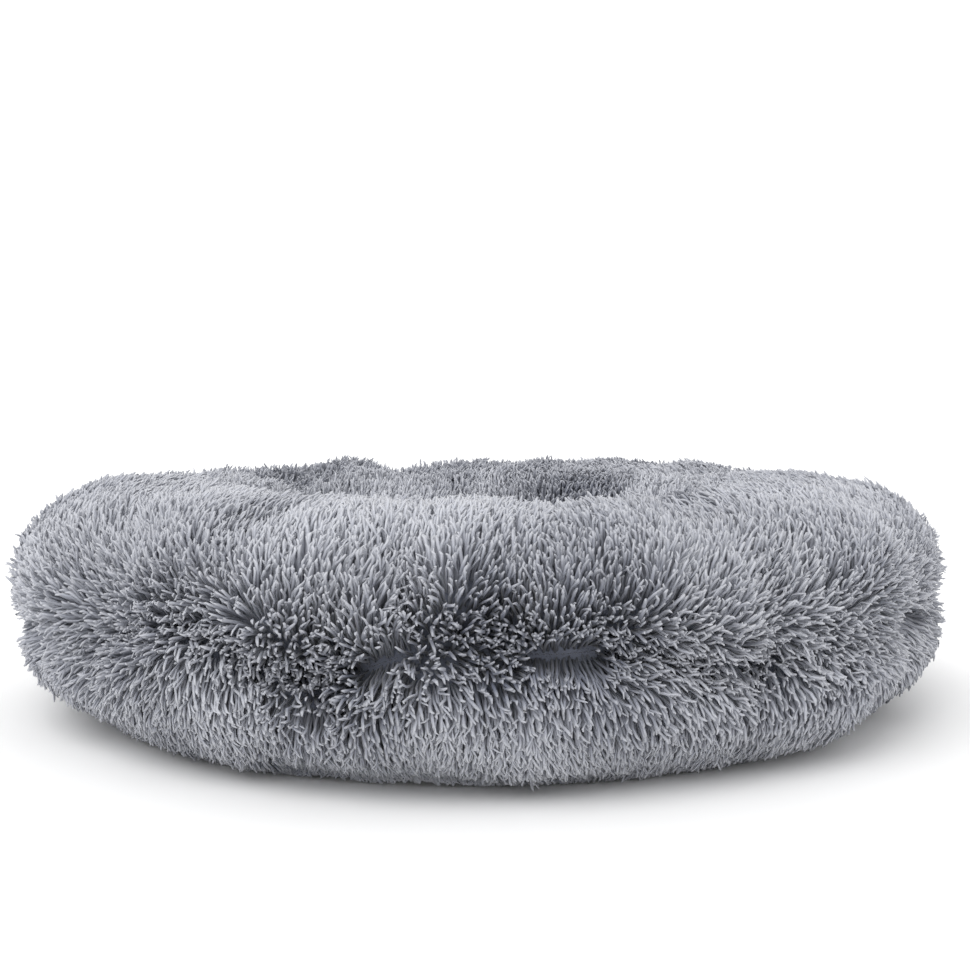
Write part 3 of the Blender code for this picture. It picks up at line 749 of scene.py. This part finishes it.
def nest_backing(material, pile):
    """The nest floor's backing, a disc laid over the pad."""
    radius = np.linspace(0.0005, NEST_SEAM_RADIUS - 0.001, 60)[:, None]
    theta = np.linspace(0, TAU, 240, endpoint=False)[None]
    x, y = radius * np.cos(theta), radius * np.sin(theta)
    points = np.stack([x, y, nest_height(x, y)], axis=-1)
    piece = grid_object("nest_backing", points[::-1], "bed", close=True)
    piece.data.materials.append(material)
    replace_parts(piece, "nest_cover")


def camera():
    data = bpy.data.cameras.new("Camera")
    data.lens = 50
    data.sensor_width = 36
    thing = bpy.data.objects.new("Camera", data)
    bpy.context.scene.collection.objects.link(thing)
    thing.location = (0.004, -1.199, 0.258)
    thing.rotation_euler = (math.radians(90 - CAMERA_PITCH), 0, 0)
    bpy.context.scene.camera = thing


def stage():
    mesh = bpy.data.meshes.new("floor")
    size = 12
    corners = [(-size, -size, 0), (size, -size, 0), (size, size, 0), (-size, size, 0)]
    mesh.from_pydata(corners, [], [(0, 1, 2, 3)])
    floor = bpy.data.objects.new("floor", mesh)
    bpy.context.scene.collection.objects.link(floor)
    mesh.materials.append(studio_paper())
    world = bpy.data.worlds.new("World")
    bpy.context.scene.world = world
    world.use_nodes = True
    back = world.node_tree.nodes["Background"]
    back.inputs["Color"].default_value = (1.0, 1.0, 1.0, 1)
    back.inputs["Strength"].default_value = 1.12
    light = bpy.data.lights.new("softbox", "SUN")
    light.energy = 1.15
    light.angle = math.radians(50)
    lamp = bpy.data.objects.new("softbox", light)
    lamp.rotation_euler = (math.radians(28), math.radians(-22), 0)
    bpy.context.scene.collection.objects.link(lamp)
    bpy.context.scene.view_settings.view_transform = "Standard"


def ring_piece(name, inset, steps_round, steps_section, material):
    """A closed ring inside the rim's backing."""
    theta = np.linspace(0, TAU, steps_round, endpoint=False)
    angle = np.linspace(-math.pi / 2, 1.5 * math.pi, steps_section, endpoint=False)
    t, a = np.meshgrid(theta, angle)
    points = bag_surface(t.ravel(), a.ravel(), inset).reshape(*t.shape, 3)
    points = np.concatenate([points, points[:1]])
    piece = grid_object(name, points, "bed", close=True)
    weld(piece)
    piece.data.materials.append(material)
    return piece


def weld(piece):
    mesh = bmesh.new()
    mesh.from_mesh(piece.data)
    bmesh.ops.remove_doubles(mesh, verts=mesh.verts, dist=1e-6)
    bmesh.ops.recalc_face_normals(mesh, faces=mesh.faces)
    mesh.to_mesh(piece.data)
    mesh.free()


def bolster(bag, fibre):
    outer = ring_piece("bolster_bag", BAG_INSET, 320, 64, bag)
    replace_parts(outer, "bolster_liner")
    inner = ring_piece("bolster_stuffing", FIBRE_INSET, 320, 64, fibre)
    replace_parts(inner, "bolster_fill")


def linked(name, mesh):
    thing = bpy.data.objects.new(name, mesh)
    bpy.context.scene.collection.objects.link(thing)
    return thing


def evaluated_points(thing):
    """Points of the object as its modifiers leave it, with the mesh that holds them."""
    graph = bpy.context.evaluated_depsgraph_get()
    mesh = bpy.data.meshes.new_from_object(thing.evaluated_get(graph))
    points = np.empty(len(mesh.vertices) * 3, np.float32)
    mesh.vertices.foreach_get("co", points)
    return points.reshape(-1, 3).astype(float), mesh


def puffed_pad():
    """The nest pad, blown up from its filling's CAD shape by a short cloth simulation."""
    pad = linked("pad_sim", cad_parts["pad_fill"].data.copy())
    weld(pad)
    remesh = pad.modifiers.new("Remesh", "REMESH")
    remesh.mode = "VOXEL"
    remesh.voxel_size = PAD_VOXEL
    start, mesh = evaluated_points(pad)
    bpy.data.objects.remove(pad)
    cloth_piece = linked("pad_cloth", mesh)
    cloth = cloth_piece.modifiers.new("Cloth", "CLOTH")
    cloth.settings.quality = 5
    cloth.settings.use_pressure = True
    cloth.settings.uniform_pressure_force = PAD_PRESSURE
    cloth.settings.effector_weights.gravity = 0
    for number in range(1, PAD_FRAMES + 1):
        bpy.context.scene.frame_set(number)
    swollen, _ = evaluated_points(cloth_piece)
    bpy.context.scene.frame_set(1)
    bpy.data.objects.remove(cloth_piece)
    moved = swollen - start
    far = np.linalg.norm(moved, axis=1, keepdims=True)
    points = start + moved * np.minimum(1, PAD_CAP / np.maximum(far, 1e-9))
    radius = np.hypot(points[:, 0], points[:, 1])
    points[:, :2] *= np.minimum(1, PAD_REACH / np.maximum(radius, 1e-9))[:, None]
    below = start[:, 2] < PAD_UNDERSIDE
    points[below, 2] = np.maximum(points[below, 2], start[below, 2])
    over = nest_height(points[:, 0], points[:, 1]) - PAD_UNDER_NEST
    points[:, 2] = np.minimum(points[:, 2], over)
    mesh.vertices.foreach_set("co", points.astype(np.float32).ravel())
    mesh.update()
    return mesh


def pad(bag, fibre):
    """The nest pad's bag, and the fibre inside it."""
    outer = linked("pad_bag", puffed_pad())
    inner = linked("pad_stuffing", outer.data.copy())
    normals = np.empty(len(inner.data.vertices) * 3, np.float32)
    inner.data.vertices.foreach_get("normal", normals)
    points = np.empty_like(normals)
    inner.data.vertices.foreach_get("co", points)
    inner.data.vertices.foreach_set("co", points - normals * PAD_BAG_CLOTH)
    for piece, node, slot, material in (
        (outer, "pad_liner", "liner_cloth", bag),
        (inner, "pad_fill", "fibre", fibre),
    ):
        piece.data.materials.clear()
        piece.data.materials.append(material)
        piece.data.polygons.foreach_set("use_smooth", np.ones(len(piece.data.polygons), bool))
        piece.modifiers.new("Smooth surface", "SUBSURF").levels = 1
        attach(piece, "bed")
        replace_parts(piece, node)


def cloth_copy(name, node, material, lift=0.0, longest=0.014):
    """A copy of a CAD panel, cut fine enough to ripple a little where it lies flat."""
    piece = linked(name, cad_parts[node].data.copy())
    mesh = bmesh.new()
    mesh.from_mesh(piece.data)
    bmesh.ops.remove_doubles(mesh, verts=mesh.verts, dist=1e-6)
    for _ in range(4):
        long_edges = [edge for edge in mesh.edges if edge.calc_length() > longest]
        bmesh.ops.subdivide_edges(mesh, edges=long_edges, cuts=1)
        bmesh.ops.triangulate(mesh, faces=[face for face in mesh.faces if len(face.verts) > 3])
    points = np.array([vertex.co for vertex in mesh.verts])
    radius = np.hypot(points[:, 0], points[:, 1])
    free = smooth_step((np.abs(points[:, 1]) - 0.036) / 0.030) * smooth_step((0.300 - radius) / 0.030)
    ripple = np.clip(noise(points * [1, 1, 0], 0.016, 41) * 0.5 + 0.4, 0, 1) * BASE_RIPPLE
    for vertex, rise in zip(mesh.verts, lift + ripple * free):
        vertex.co.z += rise
    mesh.to_mesh(piece.data)
    mesh.free()
    piece.data.validate()
    piece.data.polygons.foreach_set("use_smooth", np.ones(len(piece.data.polygons), bool))
    piece.data.set_sharp_from_angle(angle=math.radians(35))
    piece.data.materials.clear()
    piece.data.materials.append(material)
    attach(piece, "bed")
    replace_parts(piece, node)
    return piece


def beads(name, places, forward, outward, length, radius, height, material, sides=6):
    """Small rounded beads lying on a surface, such as stitches or grip dots, as one piece."""
    sections = sides - 1
    share = -np.cos(np.linspace(0.07, 0.93, sections) * math.pi)
    swell = np.sqrt(1 - share**2)
    across = unit(np.cross(forward, outward))
    line = places[:, None] + forward[:, None] * (share * length / 2)[None, :, None]
    corner = np.arange(sides) * TAU / sides
    ring = (
        across[:, None, None] * (np.cos(corner) * radius)[None, None, :, None]
        + outward[:, None, None] * (np.sin(corner) * height)[None, None, :, None]
    )
    points = line[:, :, None] + ring * swell[None, :, None, None]
    count = len(places)
    start = (np.arange(count) * sections * sides)[:, None, None]
    i, j = np.meshgrid(np.arange(sections - 1), np.arange(sides), indexing="ij")
    k = (j + 1) % sides
    quads = np.stack([i * sides + j, i * sides + k, (i + 1) * sides + k, (i + 1) * sides + j], -1)
    quads = (quads.reshape(-1, 4)[None] + start).reshape(count, -1)
    ends = np.stack([np.arange(sides)[::-1], (sections - 1) * sides + np.arange(sides)])
    ends = (ends[None] + start).reshape(count, -1)
    loops = np.concatenate([quads, ends], axis=1).reshape(-1)
    sizes = np.tile([4] * (sections - 1) * sides + [sides] * 2, count)
    piece = mesh_object(name, points.reshape(-1, 3), loops, sizes, "bed")
    piece.data.materials.append(material)
    return piece


def stitch_line(name, points, outward, material, closed=True, pitch=STITCH_PITCH):
    """Stitches evenly spaced along a line of points, each with its own outward direction."""
    if closed:
        points, outward = np.concatenate([points, points[:1]]), np.concatenate([outward, outward[:1]])
    run = np.concatenate([[0], np.cumsum(np.linalg.norm(np.diff(points, axis=0), axis=1))])
    middle = (np.arange(int(run[-1] / pitch)) + 0.5) * run[-1] / int(run[-1] / pitch)

    def at(values, where):
        return np.stack([np.interp(where, run, values[:, i]) for i in range(3)], axis=-1)

    forward = unit(at(points, middle + pitch * 0.3) - at(points, middle - pitch * 0.3))
    places, outward = at(points, middle), unit(at(outward, middle))
    length, radius = pitch * STITCH_SHARE, THREAD_RADIUS
    return beads(name, places, forward, outward, length, radius, radius, material)


def circle(radius, height, tilt, steps=720):
    """Points of a level circle, and directions tilted from straight out, up if positive, in degrees."""
    theta = np.linspace(0, TAU, steps, endpoint=False)
    points = around_axis(theta, np.full(steps, radius), np.full(steps, height))
    lean = math.radians(tilt)
    outward = around_axis(theta, np.full(steps, math.cos(lean)), np.full(steps, math.sin(lean)))
    return points, outward


def seams(material):
    """The three round seams' stitches, in place of the CAD threads."""
    theta = np.linspace(0, TAU, 900, endpoint=False)
    points, normals, _, _ = rim_frame(theta, seam_run(theta))
    side = stitch_line("side_seam_stitches", points + normals * THREAD_RADIUS * 0.4, normals, material)
    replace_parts(side, "side_seam_thread")
    for name, node, radius, tilt in (
        ("base_seam_stitches", "base_seam_thread", BASE_SEAM_RADIUS, -60),
        ("nest_seam_stitches", "nest_seam_thread", NEST_SEAM_RADIUS, 90),
    ):
        points, outward = circle(radius, middle_height(node), tilt)
        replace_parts(stitch_line(name, points, outward, material), node)


def base(cloth, grip, thread):
    """The two base panels, their grip dots and the stitches that hold the zip's tapes."""
    for word, side in (("front", -1), ("rear", 1)):
        piece = cloth_copy(f"base_cloth_{word}", f"base_panel_{word}", cloth, BASE_LIFT)
        step = DOT_SPACING
        rows = np.arange(0, 24) + 0.5
        x, y = np.meshgrid(np.arange(-23, 24) * step, rows * step * DOT_ROWS + DOT_START)
        x = x + (np.arange(len(y)) % 2 * step / 2)[:, None]
        chosen = np.hypot(x, y) < DOT_REACH
        places = np.stack([x[chosen], side * y[chosen], np.full(chosen.sum(), DOT_HEIGHT)], axis=-1)
        forward = np.broadcast_to([1.0, 0, 0], places.shape)
        outward = np.broadcast_to([0, 0, -1.0], places.shape)
        size = DOT_RADIUS
        name = f"grip_dots_{word}"
        dots = beads(name, places, forward, outward, size * 2, size, DOT_HEIGHT, grip, sides=10)
        window = abs(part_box(f"zip_coil_{word}")[0 if side < 0 else 1][1]) + STITCH_FROM_COIL
        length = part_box(f"zip_coil_{word}")[1][0] - 0.004
        x = np.linspace(-length, length, 200)
        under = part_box(f"zip_tape_{word}")[0][2] - TAPE_TO_STITCH
        points = np.stack([x, np.full(200, side * window), np.full(200, under)], axis=-1)
        down = np.broadcast_to([0, 0, -1.0], points.shape)
        row = stitch_line(f"zip_stitches_{word}", points, down, thread, closed=False, pitch=FINE_PITCH)
        radius = max(radii(f"base_panel_{word}"))


def zip_tapes(material):
    """Woven tapes, a little wavy between their stitches."""
    for word in ("front", "rear"):
        low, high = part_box(f"zip_tape_{word}")
        x, y = np.meshgrid(np.linspace(low[0], high[0], 260), np.linspace(low[1] + 2e-4, high[1] - 2e-4, 9))
        middle = (low[2] + high[2]) / 2
        z = middle + TAPE_WAVE * noise(np.stack([x, y * 0.4], axis=-1), 0.008, 51)
        points = np.stack([x, y, z], axis=-1)
        piece = grid_object(f"zip_twill_{word}", points, "bed", close=False)
        thickness = piece.modifiers.new("Cloth thickness", "SOLIDIFY")
        thickness.thickness = TAPE_CLOTH
        thickness.offset = 0
        piece.data.materials.append(material)
        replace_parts(piece, f"zip_tape_{word}")


def zip_coils(material):
    """Each side's nylon coil, wound as an oval helix."""
    for word in ("front", "rear"):
        low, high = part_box(f"zip_coil_{word}")
        turns = int((high[0] - low[0]) / COIL_PITCH)
        turn = np.linspace(0, turns * TAU, turns * 12)
        middle_y, middle_z = (low[1] + high[1]) / 2, (low[2] + high[2]) / 2
        reach_y, reach_z = (high[1] - low[1]) / 2 - COIL_WIRE, (high[2] - low[2]) / 2 - COIL_WIRE
        x = low[0] + COIL_WIRE + (high[0] - low[0] - 2 * COIL_WIRE) * turn / turn[-1]
        line = np.stack([x, middle_y + reach_y * np.cos(turn), middle_z + reach_z * np.sin(turn)], axis=-1)
        outward = np.stack([np.zeros_like(turn), np.cos(turn), np.sin(turn)], axis=-1)
        forward = unit(np.gradient(line, axis=0))
        across = unit(np.cross(forward, outward))
        corner = np.arange(6) * TAU / 6
        ring = across[:, None] * np.cos(corner)[:, None] + outward[:, None] * np.sin(corner)[:, None]
        wire = line[:, None] + ring * COIL_WIRE
        piece = grid_object(f"zip_helix_{word}", wire, "bed", close=True)
        piece.data.materials.append(material)
        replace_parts(piece, f"zip_coil_{word}")


def label(material, thread):
    """A blank satin label, folded once, with its two ends caught in the base seam."""
    low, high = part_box("care_label")
    length, ply = high[1] - low[1], (high[2] - low[2]) / 2
    fold = ply - LABEL_CLOTH / 2
    run = np.linspace(0, 1, 30)
    bend = np.linspace(-math.pi / 2, math.pi / 2, 9)[1:-1]
    flat = run * (length - fold)
    y = np.concatenate([flat, length - fold + fold * np.cos(bend), flat[::-1]])
    z = np.concatenate([np.full(30, -fold), fold * np.sin(bend), np.full(30, fold)])
    x = np.linspace(low[0], high[0], 14)
    columns = (x[None], (low[1] + y)[:, None], (low[2] + ply + z)[:, None])
    points = np.stack(np.broadcast_arrays(*columns), axis=-1)
    curl = LABEL_CURL * (1 + np.cos(x / (high[0] - low[0]) * TAU)) * (y / length)[:, None] ** 2
    points = points + np.stack([np.zeros_like(curl), np.zeros_like(curl), curl], axis=-1)
    piece = grid_object("label_satin", points, "bed", close=False)
    thickness = piece.modifiers.new("Cloth thickness", "SOLIDIFY")
    thickness.thickness = LABEL_CLOTH
    thickness.offset = 0
    piece.data.materials.append(material)
    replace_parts(piece, "care_label")
    x = np.linspace(low[0] + 0.002, high[0] - 0.002, 20)
    line = np.stack([x, np.full(20, low[1] + 0.003), np.full(20, low[2])], axis=-1)
    down = np.broadcast_to([0, 0, -1.0], line.shape)
    row = stitch_line("label_stitches", line, down, thread, closed=False, pitch=FINE_PITCH)


def metal_parts(material):
    """The slider, pull and stops are the CAD's own, with rounded edges."""
    for node in ("zip_slider", "zip_pull", "zip_bottom_stop", "zip_top_stop_front", "zip_top_stop_rear"):
        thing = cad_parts[node]
        thing.data.materials.clear()
        thing.data.materials.append(material)
        weld_edges = thing.modifiers.new("Join", "WELD")
        weld_edges.merge_threshold = 1e-6
        edges = thing.modifiers.new("Rounded edges", "BEVEL")
        edges.width = METAL_EDGE
        edges.segments = 2
        edges.limit_method = "ANGLE"
        edges.angle_limit = math.radians(50)


camera()
stage()
fur, knit, thread = pile_material("pile"), brushed_knit(), sewing_thread()
bag, fibre = bag_cloth(), fibre_fill()
rim_backing(knit, rim_pile(fur))
nest_backing(knit, nest_pile(fur))
bolster(bag, fibre)
pad(bag, fibre)
seams(thread)
base(plain_weave("base_oxford", (0.050, 0.054, 0.064), (0.125, 0.132, 0.152), 0.0011, 0.75), rubber(), thread)
zip_tapes(twill())
zip_coils(nylon())
label(label_satin(), thread)
metal_parts(worn_metal())
